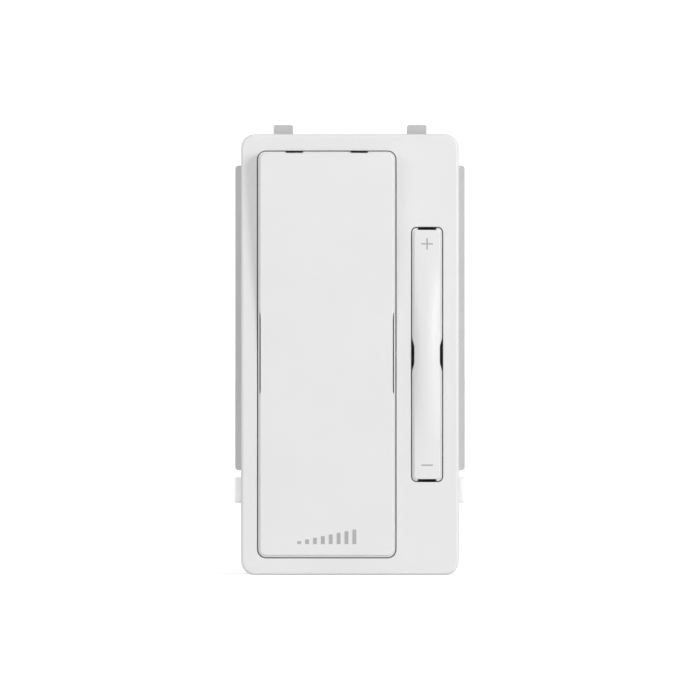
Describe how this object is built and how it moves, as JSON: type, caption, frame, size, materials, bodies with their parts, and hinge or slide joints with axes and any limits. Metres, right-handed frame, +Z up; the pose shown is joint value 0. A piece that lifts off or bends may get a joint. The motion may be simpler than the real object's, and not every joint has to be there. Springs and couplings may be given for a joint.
{
  "type": "dimmer module",
  "caption": "Snap-in wall dimmer module with a rocker on/off paddle, a plus and minus dimming bar, top hooks, sprung side latches and a rear housing with wire terminals.",
  "frame": {"origin": "centre of the face frame's outline, on the seat plane where the side strips bear on the mounting strap", "axes": "+X to the right seen by the user, +Z up, -Y towards the user, +Y into the wall"},
  "size_m": [0.035, 0.0363, 0.0681],
  "materials": {
    "white_plastic": "fine satin moulded, semi-gloss",
    "grey_plastic": "moulded, satin",
    "dark_plastic": "moulded, fine spark texture",
    "natural_nylon": "natural nylon, slightly translucent",
    "steel": "bright zinc",
    "switch_case": "moulded",
    "switch_button": "moulded",
    "laminate": "green solder mask",
    "terminal_brass": "bright",
    "sink_aluminium": "mill finish",
    "choke_core": "coated iron powder",
    "copper_wire": "enamelled copper",
    "film_case": "moulded box",
    "capacitor_sleeve": "shrink sleeve",
    "fuse_case": "moulded"
  },
  "bodies": {
    "module": {"bar_axle": "steel", "board_header": "switch_case", "board_screws": "steel", "carrier": "grey_plastic", "choke_core": "choke_core", "choke_winding": "copper_wire", "control_board": "laminate", "control_chip": "switch_case", "electrolytic_capacitor": "capacitor_sleeve", "face_frame": "white_plastic", "film_capacitor": "film_case", "fuse": "fuse_case", "header_pins": "terminal_brass", "heat_sink": "sink_aluminium", "housing_screws": "steel", "latch_spring_left": "steel", "latch_spring_right": "steel", "paddle_axle": "steel", "power_board": "laminate", "power_board_screws": "steel", "rear_housing": "dark_plastic", "tact_switch_bodies": "switch_case", "terminal_blocks": "terminal_brass", "terminal_screws": "steel", "triac": "switch_case", "triac_screw": "steel"},
    "paddle": {"paddle": "white_plastic"},
    "dimming_bar": {"dimming_bar": "white_plastic"},
    "latch_left": {"latch_left": "natural_nylon"},
    "latch_right": {"latch_right": "natural_nylon"},
    "paddle_on_button": {"paddle_on_button": "switch_button"},
    "paddle_off_button": {"paddle_off_button": "switch_button"},
    "bar_plus_button": {"bar_plus_button": "switch_button"},
    "bar_minus_button": {"bar_minus_button": "switch_button"}
  },
  "joints": [
    {"name": "paddle_rock", "type": "hinge", "parent": "module", "child": "paddle", "pos_m": [-0.00351, -0.0038, 0], "axis": [1, 0, 0], "range_deg": [-0.8, 0.8], "stiffness_Nm_per_rad": 0.3},
    {"name": "bar_rock", "type": "hinge", "parent": "module", "child": "dimming_bar", "pos_m": [0.01164, -0.0038, 0], "axis": [1, 0, 0], "range_deg": [-1.2, 1.2], "stiffness_Nm_per_rad": 0.04},
    {"name": "paddle_on_press", "type": "slide", "parent": "module", "child": "paddle_on_button", "axis": [0, 1, 0], "range_m": [-0.0003, 0.0003]},
    {"name": "paddle_off_press", "type": "slide", "parent": "module", "child": "paddle_off_button", "axis": [0, 1, 0], "range_m": [-0.0003, 0.0003]},
    {"name": "bar_plus_press", "type": "slide", "parent": "module", "child": "bar_plus_button", "axis": [0, 1, 0], "range_m": [-0.0003, 0.0003]},
    {"name": "bar_minus_press", "type": "slide", "parent": "module", "child": "bar_minus_button", "axis": [0, 1, 0], "range_m": [-0.0003, 0.0003]},
    {"name": "latch_left_slide", "type": "slide", "parent": "module", "child": "latch_left", "axis": [1, 0, 0], "range_m": [0, 0.0013], "stiffness_N_per_m": 50, "springref_m": -0.001, "deforming": ["latch_spring_left"]},
    {"name": "latch_right_slide", "type": "slide", "parent": "module", "child": "latch_right", "axis": [-1, 0, 0], "range_m": [0, 0.0013], "stiffness_N_per_m": 50, "springref_m": -0.001, "deforming": ["latch_spring_right"]}
  ],
  "couplings": [
    {"joint": "paddle_on_press", "follows": "paddle_rock", "m_per_rad": -0.02},
    {"joint": "paddle_off_press", "follows": "paddle_rock", "m_per_rad": 0.02},
    {"joint": "bar_plus_press", "follows": "bar_rock", "m_per_rad": -0.013},
    {"joint": "bar_minus_press", "follows": "bar_rock", "m_per_rad": 0.013}
  ]
}
